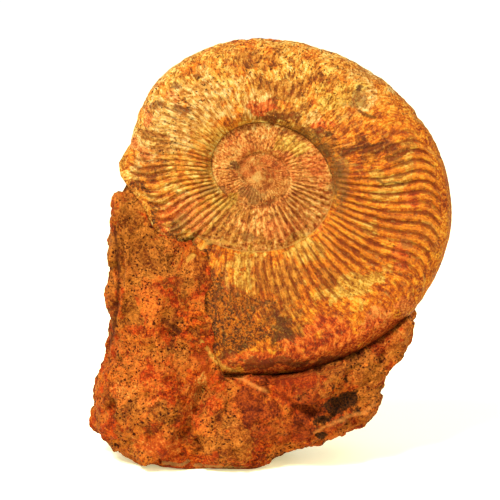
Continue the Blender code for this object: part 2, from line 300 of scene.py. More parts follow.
def new_grid(columns, rows):
    """A flat sheet of quads, and how far each corner lies along and across it."""
    deselect_all()
    bpy.ops.mesh.primitive_grid_add(x_subdivisions=columns, y_subdivisions=rows, size=2.0)
    sheet = bpy.context.object
    points = read_points(sheet)
    along = np.round((points[:, 0] + 1.0) * 0.5 * columns) / columns
    across = np.round((points[:, 1] + 1.0) * 0.5 * rows)
    return sheet, along, across


def finish_sheet(sheet, points, angle, share, relief):
    """Shape a sheet and keep what the material needs to know about it."""
    write_points(sheet, points)
    write_mask(sheet, "relief", relief)
    write_mask(sheet, "share", share)
    write_mask(sheet, "angle", angle)
    return sheet


def flank(angle, share, side):
    """Places on one flank, and the height of the ribs there. A seam lies on the whorl inside it."""
    on_seam = (share == 0.0) & (angle >= COIL_START)
    angle = np.where(on_seam, angle - 360.0, angle)
    share = np.where(on_seam, OVERLAP_SHARE, share)
    depth, relief = surface_depth(angle, share)
    depth = np.where(share == 1.0, 0.0, depth)
    across, up = coil_plane(angle + rib_bend(angle, share), share)
    return across, up, side * depth, relief


def make_last_whorl(side, rows):
    """One flank of the outer whorl, from its seam to the keel."""
    sheet, along, row = new_grid(COLUMNS, rows[-1])
    angle = COIL_START + 360.0 * along
    share = np.interp(row, (0,) + rows, (0.0,) + ROW_SHARE)
    across, up, depth, relief = flank(angle, share, side)
    return finish_sheet(sheet, stand_up(across, up, depth), angle, share, relief)


def opened_share(angle, part):
    """The inner whorl starts as a point and opens to its full flank."""
    first = COIL_START - 360.0
    opening = smooth_step(angle, first, first + BUTTON_OPENING)
    return OVERLAP_SHARE - (1.0 - part) * OVERLAP_SHARE * opening


def make_inner_whorl(side, rows):
    """One flank of the whorl inside the last one, up to the line that is covered."""
    sheet, along, row = new_grid(COLUMNS, rows[0])
    angle = COIL_START - 360.0 + 360.0 * along
    share = opened_share(angle, row / rows[0])
    across, up, depth, relief = flank(angle, share, side)
    return finish_sheet(sheet, stand_up(across, up, depth), angle, share, relief)


def core_depth(across, up):
    """Half thickness of the innermost whorls at a place in the plane of the coil."""
    along = across * math.cos(OVAL_ANGLE) + up * math.sin(OVAL_ANGLE)
    stretch = 1.0 / OVAL_SQUASH - 1.0
    x = across + stretch * along * math.cos(OVAL_ANGLE)
    z = up + stretch * along * math.sin(OVAL_ANGLE)
    radius = np.maximum(np.hypot(x, z), 0.2 * MM)
    turn = np.degrees(np.arctan2(-z, x))
    seam = KEEL_RADIUS * growth(turn) * UMBILICAL_RATIO * WHORL_EXPANSION
    whorl = np.ceil(np.log(radius / seam) / math.log(WHORL_EXPANSION))
    angle = turn + 360.0 * whorl
    ratio = radius / (KEEL_RADIUS * growth(angle))
    share = np.clip((ratio - UMBILICAL_RATIO) / (1.0 - UMBILICAL_RATIO), 0.0, 1.0)
    settled = smooth_step(radius, 1.0 * MM, 5.0 * MM)
    depth = HALF_THICKNESS * growth(angle) * section(share) * settled + 1.1 * MM * (1.0 - settled)
    return depth, angle, share


def make_core(side, rows):
    """The innermost whorls, worn low, as one small disc inside the seam."""
    sheet, along, row = new_grid(COLUMNS, rows)
    rim_angle = COIL_START - 360.0 + 360.0 * along
    rim_share = opened_share(rim_angle, np.zeros(len(along)))
    rim_across, rim_up, rim_depth, rim_relief = flank(rim_angle, rim_share, 1.0)
    inward = 1.0 - row / rows
    depth, angle, share = core_depth(rim_across * inward, rim_up * inward)
    blend = smooth_step(row / rows, 0.0, 0.25)
    depth = rim_depth * (1.0 - blend) + depth * blend
    radius = np.hypot(rim_across, rim_up) * inward
    faint = 0.20 * smooth_step(radius, 4.0 * MM, 9.0 * MM) * smooth_step(share, 0.0, 0.15)
    relief = rim_relief * (1.0 - blend) + faint * blend * rib_wave(angle, share)
    depth = depth + faint * blend * rib_wave(angle, share) * MM
    points = stand_up(rim_across * inward, rim_up * inward, side * depth)
    return finish_sheet(sheet, points, angle, share, relief)


def make_shell():
    """The whole shell: six sheets joined edge to edge, and the mouth closed."""
    sheets = []
    for side, rows, core_rows in ((-1.0, FRONT_ROWS, FRONT_CORE_ROWS), (1.0, BACK_ROWS, BACK_CORE_ROWS)):
        sheets.append(make_last_whorl(side, rows))
        sheets.append(make_inner_whorl(side, rows))
        sheets.append(make_core(side, core_rows))
    deselect_all()
    for sheet in sheets:
        sheet.select_set(True)
    bpy.context.view_layer.objects.active = sheets[0]
    bpy.ops.object.join()
    piece = bpy.context.object
    piece.name = "fossil_shell"
    piece.data.name = "fossil_shell"
    edit_all(piece)
    bpy.ops.mesh.remove_doubles(threshold=SHELL_WELD)
    bpy.ops.mesh.select_all(action="DESELECT")
    bpy.ops.mesh.select_non_manifold(extend=False, use_wire=False, use_multi_face=False,
                                     use_non_contiguous=False, use_verts=False)
    bpy.ops.mesh.fill(use_beauty=True)
    bpy.ops.mesh.select_all(action="SELECT")
    bpy.ops.mesh.normals_make_consistent(inside=False)
    bpy.ops.object.mode_set(mode="OBJECT")
    return piece


def weather_shell(piece):
    """Dents, crust and wear on the shell, and a ragged edge where the keel is eroded."""
    points = read_points(piece)
    normals = read_normals(piece)
    angle = read_mask(piece, "angle")
    share = read_mask(piece, "share")
    crust = between(angle, -175, -150, -25, -8) * smooth_step(share, 0.15, 0.40)
    crust = np.maximum(crust, crusted(angle, share))
    even_keel = between(angle, -90, -70, 20, 40)
    dents = 0.35 * lumpy(points, 13.0 * MM, 3, 1.0)
    worn_core = smooth_step(-angle, 470.0, 600.0)
    rough = (0.10 + 0.22 * crust + 0.12 * worn_core) * lumpy(points, 2.6 * MM, 3, 2.0)
    flakes = 0.35 * crust * chipped(points, 5.0 * MM, 4.0)
    ragged = 0.38 * smooth_step(share, 0.80, 0.97) * lumpy(points, 6.0 * MM, 3, 6.0)
    ragged = ragged * (1.0 - 0.75 * even_keel)
    edge_gap, where = stroke_distance(points, EDGE_LINE)
    by_rock = (1.0 - smooth_step(edge_gap, 3.0, 17.0)) * (where > LIP_START) * (normals[:, 1] < -0.3)
    rough = rough + 0.30 * by_rock * lumpy(points, 2.4 * MM, 3, 12.0)
    flakes = flakes + 0.45 * by_rock * chipped(points, 6.0 * MM, 13.0)
    shift = (dents + rough + flakes + ragged) * MM
    write_points(piece, points + normals * shift[:, None])


# Where the edge of the rock meets the shell, as seen from the front: millimetres across, up
# and forward, from the left outline to the lip of the last whorl and down along it.
EDGE_LINE = ((-66, 126.5, 4.6), (-58, 122.5, 5.2), (-51, 113, 6.4),
             (-46.5, 104, 6.8), (-41, 100.5, 7.6), (-29, 103, 10.5),
             (-31, 80, 18.4), (-32.5, 66, 18.7), (-31, 59, 18.6),
             (-27, 52, 17.8), (-21.5, 47, 16.8), (-13, 44, 16))
EDGE_SLOPE = 0.42
LIP_SLOPE = 0.10
EDGE_HEIGHT = 0.2
EDGE_ROUNDING = 0.014
LEFT_EDGE_START = 0.6
LEFT_EDGE_END = 4.6
LIP_START = 5.3
LIP_END = 10.4
FREE_CORNERS = ((-20, 104), (-20, 140), (-66, 140))
FREE_FRONT = -45.0
ROCK_TOP = 122.0
ROCK_TOP_FALL = 0.20

# Pale rims of bare shell, across and up: the shoulder of the last whorl where the rock takes
# it, and the lower corner of the last whorl.
RIM_LINES = (((-36.5, 94.5), (-32.5, 98), (-28, 101), (-22.5, 101.8), (-15.5, 99.6)),
             ((-30, 58.5), (-26, 52), (-22, 46.8), (-15, 43.4)))
LEDGE_LINES = (((-14, 41.5), (-8, 38.5), (-1, 35.4)),
               ((20, 19), (31, 24.8), (42, 25.4), (47, 30)))

# Dark cracks: in the rock the strip that runs down its left edge and a short slanting one, in
# the shell the edges of its flaked crust.
CRACK_LINES = (((-69, 110), (-67.5, 98), (-67, 85), (-68, 72), (-70, 60),
                (-73.5, 51)),
               ((-47, 68.5), (-41, 64), (-34.5, 59)))
FLAKE_LINES = (((47, 129.5), (50, 127.8), (54, 128.6), (58.5, 127.2)),
               ((39, 159.5), (42.5, 157.5), (46.5, 156.5)),
               ((32, 140), (37, 143.5), (44, 144), (50, 145.5)))

CREVICE_FROM = -14.0
CREVICE_OPEN_TO = 8.0
CREVICE_TO = 74.0

# Ridges and grooves of the broken rock: places across and up, half width and height.
ROCK_STROKES = {
    "left_edge_ridge": (((-65.5, 113), (-62, 92), (-64, 79), (-67, 61)), 1.6, 2.2),
    "left_edge_gutter": (((-68, 108), (-66, 92), (-67, 79), (-68, 73)), 1.6, -2.6),
    "left_edge_strip": (((-71.5, 77), (-70.5, 61)), 3, 1.8),
    "diagonal_groove": (((-39, 18), (-33, 28.5), (-29, 36)), 2.8, -4.8),
    "lit_ridge": (((-57, 5), (-48, 13), (-40, 22)), 3.2, 2.6),
    "dark_hollow": (((-36, 5), (-32, 9), (-33, 14)), 2.8, -3),
    "ledge_ridge": (((-10.5, 43.5), (-4, 40.5), (1, 37.5)), 1.2, 1.2),
    "pitted_knob": (((-14, 19), (-11, 13)), 8, 2.6),
    "short_groove": (((8, 32), (18.5, 27.5)), 1.8, -3),
    "facet_ridge": (((9, 31), (26.5, 38)), 1.8, 2),
    "facet_groove": (((-1, 34), (2, 27), (3, 19)), 1.8, -2.6),
    "ledge_edge": (((20, 38), (31, 46.5), (45, 60)), 1.6, 2),
    "ledge_foot": (((23, 35), (34, 42.5), (48, 56.5)), 1.5, -2),
    "low_right_ridge": (((14, 17), (31, 24.5), (42, 25), (47, 30)), 1.4, 1.8),
    "low_right_foot": (((18, 15.5), (32, 21.5), (43, 22)), 1.4, -1.4),
    "stained_hollow": (((29, 35), (35, 33)), 5, -1.6),
    "end_crack": (((51, 58), (50, 50), (46, 44)), 1, -1.6),
    "end_lump": (((57, 64), (60, 72)), 4, 1.4),
    "mid_hollow": (((-46, 62), (-40, 56), (-34, 52)), 3, -1.5),
    "low_left_hollow": (((-60, 32), (-50, 36)), 4, -1.6),
}


def stroke_distance(points, line):
    """Distance across and up from each place to a line, and how far along the line it is."""
    spots = points[:, (0, 2)] / MM
    best = np.full(len(points), np.inf)
    where = np.zeros(len(points))
    for number in range(len(line) - 1):
        first = np.array(line[number][:2])
        run = np.array(line[number + 1][:2]) - first
        part = np.clip((spots - first) @ run / (run @ run), 0.0, 1.0)
        gap = np.linalg.norm(spots - first - part[:, None] * run, axis=1)
        nearer = gap < best
        best = np.where(nearer, gap, best)
        where = np.where(nearer, number + part, where)
    return best, where


def front_of_shell(tree, places):
    """How far forward the shell reaches at each place seen from the front, or none."""
    levels = np.full(len(places), np.nan)
    for number, (x, z) in enumerate(places):
        hit = tree.ray_cast(Vector((x, FAR_IN_FRONT, z)), Vector((0.0, 1.0, 0.0)))[0]
        if hit is not None:
            levels[number] = hit.y
    return levels


def free_the_ribs(piece):
    """Cut away the rock in front of the lowest ribs, up to its edge as the photograph shows it."""
    outline = [place[:2] for place in EDGE_LINE[:6]] + list(FREE_CORNERS)
    deselect_all()
    bpy.ops.mesh.primitive_circle_add(vertices=len(outline), radius=MM, fill_type="NGON")
    cutter = bpy.context.object
    write_points(cutter, np.array([(x, FREE_FRONT, z) for x, z in outline]) * MM)
    edit_all(cutter)
    bpy.ops.mesh.extrude_region_move(TRANSFORM_OT_translate={"value": (0.0, -FREE_FRONT * MM, 0.0)})
    bpy.ops.mesh.select_all(action="SELECT")
    bpy.ops.mesh.normals_make_consistent(inside=False)
    bpy.ops.object.mode_set(mode="OBJECT")
    cut = piece.modifiers.new("free_ribs", "BOOLEAN")
    cut.operation = "DIFFERENCE"
    cut.solver = "MANIFOLD"
    cut.object = cutter
    apply_modifier(piece, cut)
    bpy.data.objects.remove(cutter)


def copy_solid():
    """A copy of the rock's solid in fine even faces, thicker where it is thin over the shell."""
    piece = bpy.data.objects.new("host_rock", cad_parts["matrix_rock"].data.copy())
    piece.data.name = "host_rock"
    bpy.context.collection.objects.link(piece)
    edit_all(piece)
    bpy.ops.mesh.remove_doubles(threshold=ROCK_WELD)
    bpy.ops.object.mode_set(mode="OBJECT")
    points = read_points(piece)
    thin = between(points[:, 0], *THIN_ACROSS) * smooth_step(points[:, 2], *THIN_UP)
    thin = thin * (read_normals(piece)[:, 1] < -0.4) * (points[:, 1] < THIN_FRONT)
    points[:, 1] -= THICKENING * thin
    write_points(piece, points)
    free_the_ribs(piece)
    grain = piece.modifiers.new("even_faces", "REMESH")
    grain.mode = "VOXEL"
    grain.voxel_size = ROCK_GRAIN
    apply_modifier(piece, grain)
    return piece


def shape_edge(points, outer, edge_gap, where):
    """Take the rock's front back to where its edge meets the shell, and let that edge wander."""
    forward = np.interp(where, np.arange(len(EDGE_LINE)), [place[2] for place in EDGE_LINE])
    slope = np.where(where < LIP_START, EDGE_SLOPE, LIP_SLOPE)
    limit = -(forward + EDGE_HEIGHT + slope * edge_gap + EDGE_ROUNDING * edge_gap ** 2) * MM
    points[:, 1] = np.where(outer, np.maximum(points[:, 1], limit), points[:, 1])
    creep = outer * (where > LEFT_EDGE_START) * (where < LEFT_EDGE_END) * (1.0 - smooth_step(edge_gap, 1, 8))
    creep = creep * (0.5 + 2.4 * lumpy(points, 6.0 * MM, 3, 9.0)) * MM
    points[:, 0] += 0.5 * creep
    points[:, 2] += 0.85 * creep
    lip = outer * (where > LIP_START) * (where < LIP_END) * (1.0 - smooth_step(edge_gap, 1, 9))
    wander = 4.5 * lumpy(points * (0.3, 0.3, 1.0), 13.0 * MM, 2, 10.0)
    wander = wander + 1.6 * lumpy(points * (0.3, 0.3, 1.0), 4.0 * MM, 3, 11.0)
    points[:, 0] += lip * (0.6 + wander) * MM


def broken_surface(points, normals):
    """How far the broken stone stands out at each place, in millimetres."""
    height = sum(tall * chipped(points, size * MM, seed) for tall, size, seed in ROCK_CHIPS)
    height = np.minimum(height + 0.9 * lumpy(points, 12.0 * MM, 3, 3.0), CHIP_LIMIT)
    waver = 0.4 * lumpy(points, 4.0 * MM, 2, 8.0)
    for line, width, relief in ROCK_STROKES.values():
        away = stroke_distance(points, line)[0] + waver
        height = height + relief * np.exp(-(away / width) ** 2) * (normals[:, 1] < 0.2)
    return height


def make_rock(tree):
    """The host rock: its solid broken and worn, its edge drawn back and its seat pressed on."""
    piece = copy_solid()
    points = read_points(piece)
    normals = read_normals(piece)

    nearest = [tree.find_nearest(Vector(p), FAR_FROM_SHELL) for p in points]
    gap = np.array([FAR_FROM_SHELL if n[0] is None else n[3] for n in nearest])
    facing = np.array([0.0 if n[0] is None else n[1].dot(Vector(m)) for n, m in zip(nearest, normals)])
    towards_shell = facing < -0.3
    crevice = smooth_step(points[:, 0], CREVICE_FROM * MM, (CREVICE_FROM + 4.0) * MM)
    crevice = crevice * (points[:, 0] < CREVICE_TO * MM) * (points[:, 1] < 4.0 * MM)
    seat = (gap < (1.5 + 1.8 * crevice) * MM) & towards_shell
    outer = (normals[:, 1] < 0.5) & ~seat & (points[:, 1] < 0.0)
    edge_gap, where = stroke_distance(points, EDGE_LINE)
    shape_edge(points, outer, edge_gap, where)

    free = np.where(towards_shell, smooth_step(gap, 1.5 * MM, 4.0 * MM), 1.0)
    free = free * smooth_step(points[:, 2], 0.2 * MM, 3.0 * MM)
    free = free * (0.10 + 0.90 * smooth_step(edge_gap, 0.0, 10.0))
    height = broken_surface(points, normals)
    write_points(piece, points + normals * (height * free * MM)[:, None])
    rounded = piece.modifiers.new("rounded", "SMOOTH")
    rounded.factor = 0.5
    rounded.iterations = 2
    apply_modifier(piece, rounded)
    points = read_points(piece)
    fine = 0.55 * lumpy(points, 3.2 * MM, 3, 4.0) + 0.22 * lumpy(points, 1.6 * MM, 2, 5.0)
    points = points + read_normals(piece) * (fine * free * MM)[:, None]
    roof = (ROCK_TOP + 1.5 * lumpy(points, 9.0 * MM, 3, 15.0)) * MM - ROCK_TOP_FALL * points[:, 1]
    points[:, 2] -= 0.85 * np.maximum(points[:, 2] - roof, 0.0)

    shell_front = front_of_shell(tree, points[:, (0, 2)])
    covering = outer & (facing > -0.3) & (edge_gap < 60.0)
    lid = np.where(np.isnan(shell_front), 1.0, shell_front - SKIN)
    points[:, 1] = np.where(covering, np.minimum(points[:, 1], lid), points[:, 1])
    narrow = smooth_step(points[:, 0], CREVICE_OPEN_TO * MM, (CREVICE_OPEN_TO + 12.0) * MM)
    opening = CONTACT_GAP + crevice * (1.2 - 0.9 * narrow) * MM
    for number in np.nonzero(seat)[0]:
        spot, outward = nearest[number][:2]
        points[number] = spot + outward * opening[number]
    write_points(piece, points)
    return piece


shell = make_shell()
weather_shell(shell)
shell_tree = BVHTree.FromObject(shell, bpy.context.evaluated_depsgraph_get())
rock = make_rock(shell_tree)
for piece in (shell, rock):
    choose(piece)
    bpy.ops.object.shade_smooth()

# Coloured patches on the front of the shell: places across and up, half width, half height. Some of the red,
# brown and umber ones are partly painted shade.
SHELL_PATCHES = {
    "salmon": ((-38, 113.5, 11, 10), (-28, 112.5, 4, 4), (-12, 137, 9, 9),
               (3, 134.5, 6, 7), (22, 134.5, 5, 5), (-53, 155, 4, 3.5),
               (-44, 166, 4, 3), (6, 107, 12, 4), (-58, 141, 4, 3),
               (59, 74, 5, 5), (44, 67, 10, 5)),
    # red: red stain; those low along the lower edge of the last whorl, over the crevice, are also painted
    # shade under its overhang.
    "red": ((62.5, 120.5, 4, 4), (7.5, 56, 5, 4.5), (20, 60, 12, 6),
            (36, 57, 22, 6), (45, 64, 18, 5), (12, 51, 16, 6),
            (23, 152, 5, 4), (-4, 161, 5, 3),
            (-5, 49, 12, 4), (32, 51, 14, 6), (58, 96, 4, 6),
            (5, 46, 24, 4.5), (-45, 112.5, 5, 6)),
    "tawny": ((7, 85, 13, 11), (7, 171, 15, 6), (-20, 105, 9, 5),
              (-10, 77, 8, 7), (24, 86, 6, 5), (-47, 146, 5, 4),
              (-18, 115, 8, 5), (-6, 182, 8, 4), (-50, 148, 8, 3),
              (-3, 102, 11, 4)),
    "gold": ((-12.5, 89.5, 7.5, 6.5), (17, 99, 9, 4), (30, 80, 12, 5),
             (50, 87.5, 6, 5), (50.5, 126, 9, 6.5), (9, 145, 6, 5),
             (-17, 119, 5, 3), (38.5, 84.5, 6, 4.5), (33, 167, 10, 6),
             (44, 108, 7, 4), (60, 140, 5, 8)),
    "film": ((-26.5, 78, 6.5, 20), (-13, 67, 14, 13), (-18.5, 60, 11, 10),
             (-62, 126, 6, 5), (-50, 112, 5, 8), (-41, 103, 8, 4.5)),
    # brown: brown stain; those along the upper seam and on the lower edge of the last whorl are also painted
    # shade.
    "brown": ((3, 157.5, 14, 5), (14, 152, 8, 3.5), (29, 143.5, 5, 4),
              (6.5, 48.5, 10, 3), (-21, 49, 7, 4), (54, 143, 8, 3),
              (-52, 132, 5, 4), (42, 143, 6, 5), (6, 66, 9, 8)),
    # umber: thin dark brown stain bands; those along the upper seam and on the lower edge of the last whorl
    # are painted shade as well.
    "umber_and_shade": ((5, 156, 10, 2.8), (21, 149, 5, 2.6), (33, 141, 5, 2.6),
              (48, 143, 9, 2), (54, 138.5, 5, 1.8), (-20, 51, 7, 3),
              (0, 47.5, 12, 2.5), (22, 48, 14, 2.5), (-41, 170, 3.5, 2),
              (-50, 161, 3, 2), (-40, 160.5, 4, 1.8), (-33, 174, 3, 1.6)),
    "dark": ((5.5, 64, 6, 5.5), (39, 169, 1.8, 1.4), (-17, 134, 2.2, 2.2),
             (26.5, 149, 2.4, 1.4)),
    "grey": ((31, 131, 3, 12), (38.5, 164.5, 4.5, 3.5), (-7, 122, 6, 3),
             (-39, 108, 5, 4), (60, 100, 3, 3), (-11, 103, 4, 2.5),
             (-27, 124, 5, 2.5)),
    "pale": ((-42, 154, 14, 14), (-29, 161, 12, 9), (-6.5, 163, 7, 11),
             (42, 166, 8, 7), (45, 178, 9, 4), (-25, 172, 12, 7),
             (20, 157, 4.5, 3), (-58, 140, 6, 8)),
}

# Coloured patches on the front of the rock, in the same way; some of them are painted light and painted
# shade.
ROCK_PATCHES = {
    "olive": ((-58.5, 106, 13, 18), (-61.5, 72, 6, 8), (-45, 92, 10, 7),
              (-65, 121, 8, 7)),
    "brown": ((-32, 66, 12, 10), (-68, 35, 9, 9), (-52, 27, 12, 7),
              (33, 47, 15, 6), (-19.5, 17, 12, 10), (-30, 82, 5, 9),
              (-71, 98, 3.5, 12), (-71, 78, 3, 12), (-74, 60, 3, 8)),
    "red": ((-49.5, 74, 10, 10), (-50, 46, 14, 8), (-45, 10, 10, 6),
            (-30, 30, 6, 8)),
    # deep: dark red stone, and painted shade on the lower right and in the crevice under the shell.
    "dark_red_and_shade": ((-29.5, 51, 6, 6), (1, 22, 7, 9), (4, 43, 22, 5),
             (15, 36, 12, 7), (34.5, 20.5, 9, 5), (36, 47, 14, 6),
             (10, 17, 11, 6), (-34, 62, 9, 6), (-29.5, 50, 6, 8),
             (49, 55, 4, 8)),
    "purple": ((-7.5, 30.5, 8.5, 9), (17, 24.5, 9, 7)),
    "black": ((33, 30.5, 9.5, 7), (22.5, 16.5, 2.5, 2)),
    "ochre": ((43, 43.5, 6.5, 4.5), (45, 33.5, 5.5, 5), (58.5, 60, 7, 11),
              (-16, 14, 8, 6), (-62, 88, 4, 14), (-36, 90, 5, 4),
              (-40, 53.5, 3.5, 4), (-54, 14, 12, 5), (23, 37, 4, 2.5)),
    "film": ((-33, 81, 8, 19), (-28, 98, 9, 7), (-30, 62, 8, 8),
             (-27.5, 84, 8, 15)),
    "smooth": ((-7.5, 30.5, 9, 9), (17, 25, 12, 8), (4, 41, 12, 3.5),
               (17, 35, 12, 6), (10, 18, 12, 7), (-30, 50, 7, 8),
               (-47, 14, 9, 5)),
    "grey": ((-40, 3.5, 8, 1.2), (-21, 2, 9, 1.2)),
    # lit: painted light on faces low on the left that turn downwards, standing in for light from below.
    "lit": ((-53, 13, 13, 6), (-33, 34, 5, 7), (-62, 39, 8, 7)),
}

ONLY_IN_FRONT = ("grey", "black", "dark")
PATCH_WANDER = 1.1
ELSEWHERE_SHARE = 0.55
SHELL_PATCH_SEED = 20.0
ROCK_PATCH_SEED = 40.0

# Grain pits, large and small: scale, how many cells have one, its least size and what is added
# to that. Then how far the pits drift, how wide their wall is, and the fine relief in metres.
PIT_SIZES = ((520, 0.50, 0.19, 0.25), (900, 0.72, 0.19, 0.23))
PIT_DRIFT = 0.0022
PIT_WALL = 0.16
ROCK_BUMP = 0.0007
SHELL_BUMP = 0.00045

# How much of the photograph's red, green and blue is the stone's own: its light is warm.
OWN_SHARE = (0.385, 0.318, 0.192)

# Paints of the bare stone from dark to light, and where on its tone each one lies. All paints
# are red, green and blue as the photograph's light shows them.
ROCK_STOPS = (0.15, 0.35, 0.50, 0.66, 0.85)
SHELL_STOPS = (0.15, 0.34, 0.50, 0.66, 0.85)
STAIN_STOPS = (0.2, 0.5, 0.8)
FILM_STOPS = (0.36, 0.5, 0.66)
BLACK_STOPS = (0.2, 0.7)
RUST = ((110, 30, 0), (168, 54, 4), (208, 80, 10), (240, 108, 24), (255, 150, 52))
TAN = ((150, 84, 12), (206, 134, 40), (232, 170, 72), (250, 206, 108), (255, 240, 176))
ORANGE = ((140, 54, 2), (190, 90, 8), (222, 122, 22), (244, 150, 36), (255, 196, 76))
PINK = ((132, 62, 18), (194, 110, 48), (230, 150, 80), (248, 178, 106), (255, 222, 156))
SHELL_FILM = ((42, 12, 0), (114, 48, 0), (194, 108, 22))
ROCK_PURPLE = ((88, 28, 2), (134, 54, 12), (176, 82, 30))
ROCK_BLACK = ((30, 14, 4), (100, 56, 20))

# Cloudy veils over the bare stone: scale, where they begin, how thick, paint. Those of the
# shell run along its ribs.
ROCK_VEILS = ((95, 0.47, 0.70, (216, 78, 22)), (150, 0.54, 0.50, (216, 132, 40)),
              (190, 0.53, 0.66, (122, 40, 0)), (330, 0.56, 0.60, (255, 150, 60)),
              (420, 0.55, 0.62, (110, 36, 2)))
SHELL_VEILS = ((0.62, 0.55, 0.65, (244, 142, 40)), (0.80, 0.57, 0.70, (255, 224, 134)),
               (1.05, 0.57, 0.65, (182, 92, 14)), (1.40, 0.58, 0.50, (255, 206, 98)))

# Patches in the order they are laid: how thick, then their paint from dark to light or plain.
ROCK_STAINS = (("red", 0.95, (156, 50, 10), (220, 84, 24), (255, 136, 62)),
               # deep: dark red stone and painted shade.
               ("dark_red_and_shade", 0.9, (106, 28, 2), (166, 56, 10), (218, 98, 34)),
               ("brown", 0.85, (92, 34, 6), (146, 70, 20), (196, 112, 46)),
               ("olive", 0.9, (112, 54, 8), (172, 102, 34), (222, 150, 72)),
               ("film", 0.85, (96, 34, 4), (156, 76, 18), (204, 120, 48)),
               ("ochre", 0.85, (150, 74, 16), (214, 122, 48), (250, 172, 96)),
               # lit: painted light low on the left.
               ("lit", 0.9, (194, 80, 22), (255, 130, 54), (255, 198, 118)))
SHELL_STAINS = (("pale", 0.85, (184, 122, 50), (238, 190, 112), (255, 240, 196)),
                ("tawny", 0.85, (112, 58, 6), (176, 106, 30), (224, 160, 74)),
                ("gold", 0.9, (164, 104, 20), (224, 176, 74), (252, 224, 134)),
                ("salmon", 0.85, (150, 66, 24), (228, 120, 60), (255, 174, 106)))
# Brown, red and umber also lay painted shade where their patches run along the upper seam and the lower edge
# of the last whorl.
SHELL_STAINS_OVER_FILM = (("brown", 0.85, (86, 36, 2), (146, 78, 12), (204, 130, 46)),
                          ("red", 0.9, (144, 40, 6), (218, 88, 26), (255, 146, 70)),
                          ("umber_and_shade", 0.75, (104, 44, 8)), ("grey", 0.65, (142, 100, 60)),
                          ("dark", 0.8, (76, 46, 22)))

# Thin lines over a piece: how thick, paint.
ROCK_LINES = (("ledge", 0.6, (250, 170, 100)), ("rim", 0.75, (246, 196, 104)))
# The two seam lines of the shell are painted shadow along the upper seam and a painted highlight along the
# lower seam.
SHELL_LINES = (("crack", 0.8, (84, 38, 8)), ("seam_painted_shadow", 0.8, (92, 44, 8)),
               ("seam_painted_highlight", 0.6, (252, 202, 116)), ("rim", 0.75, (246, 196, 104)))


def pigment(red, green, blue):
    """A colour as the photograph's light shows it, turned into the stone's own colour."""
    tones = []
    for value, share in zip((red, green, blue), OWN_SHARE):
        tone = value / 255.0
        tone = tone / 12.92 if tone <= 0.04045 else ((tone + 0.055) / 1.055) ** 2.4
        tones.append(tone * share)
    return (*tones, 1.0)


def keep_patches(piece, table, seed):
    """Keep one mask for each kind of patch: as listed in front, and at random elsewhere."""
    points = read_points(piece)
    spots = points[:, (0, 2)] / MM
    front = smooth_step(-read_normals(piece)[:, 1], -0.50, 0.05)
    sideways = PATCH_WANDER * lumpy(points, 9.0 * MM, 3, seed + 60.0)
    upward = PATCH_WANDER * lumpy(points, 9.0 * MM, 3, seed + 61.0)
    for number, (name, places) in enumerate(table.items()):
        mask = np.zeros(len(points))
        for x, z, half_width, half_height in places:
            away = np.hypot((spots[:, 0] - x) / half_width + sideways,
                            (spots[:, 1] - z) / half_height + upward)
            mask = np.maximum(mask, 1.0 - smooth_step(away, 0.45, 1.45))
        elsewhere = smooth_step(lumpy(points, 20.0 * MM, 3, seed + number), 0.25, 0.75)
        elsewhere = elsewhere * (name not in ONLY_IN_FRONT)
        write_mask(piece, name, mask * front + ELSEWHERE_SHARE * elsewhere * (1.0 - front))


def keep_lines(piece, name, lines, half_width):
    """Where thin lines run over the front of a piece."""
    points = read_points(piece)
    waver = 0.5 * lumpy(points, 4.0 * MM, 2, 14.0)
    mask = np.zeros(len(points))
    for line in lines:
        away = stroke_distance(points, line)[0] + waver
        mask = np.maximum(mask, 1.0 - smooth_step(away, 0.2 * half_width, half_width))
    write_mask(piece, name, mask * (read_normals(piece)[:, 1] < 0.1) * (points[:, 1] < 0.0))


def keep_shell_zones(piece):
    """What the shell's material needs besides the patches."""
    angle = read_mask(piece, "angle")
    share = read_mask(piece, "share")
    overlap = (np.abs(share - OVERLAP_SHARE) < 0.0001) & (angle < COIL_START)
    seam = (((share < 0.0001) & (angle >= COIL_START)) | overlap).astype(float)
    seam_angle = np.where(overlap, angle + 360.0, angle)
    # Painted shadow along the upper seam, under the overhanging whorl, and a painted highlight along the
    # lower seam, whose edge faces the light above.
    write_mask(piece, "seam_painted_shadow", seam * (1.0 - smooth_step(seam_angle, -10, 15)))
    write_mask(piece, "seam_painted_highlight", seam * smooth_step(seam_angle, 10, 25))
    inner = smooth_step(-angle, -COIL_START, 6.0 - COIL_START)
    right = smooth_step(angle, -75, -15)
    write_mask(piece, "rib_place", rib_turns(angle))
    write_mask(piece, "umbilicus", inner)
    write_mask(piece, "orange_side", right * (1.0 - inner))
    crust = between(angle, -185, -165, -60, -20) * smooth_step(share, 0.2, 0.6)
    write_mask(piece, "crust", np.maximum(crust, 0.5 * crusted(angle, share)))
    faded = 0.8 * smooth_step(angle, *FADING_RIBS) * smooth_step(share, 0.40, 0.60)
    faded = np.maximum(0.7 * crusted(angle, share), faded)
    write_mask(piece, "crisp", right * (1.0 - inner) * (1.0 - faded))
    wall = between(angle, -60, -40, 15, 35)
    write_mask(piece, "wall", wall * (1.0 - smooth_step(share, 0.08, 0.15)))


def feed(tree, value, socket):
    """Wire an output into a socket, or set the socket to a plain value."""
    if isinstance(value, bpy.types.NodeSocket):
        tree.links.new(value, socket)
    else:
        socket.default_value = value


def maths(tree, operation, *values):
    """One sum."""
    step = tree.nodes.new("ShaderNodeMath")
    step.operation = operation
    for value, socket in zip(values, step.inputs):
        feed(tree, value, socket)
    return step.outputs[0]


def times(tree, first, second):
    """The first value multiplied by the second."""
    return maths(tree, "MULTIPLY", first, second)


def times_plus(tree, first, second, third):
    """The first value multiplied by the second, and the third added."""
    return maths(tree, "MULTIPLY_ADD", first, second, third)


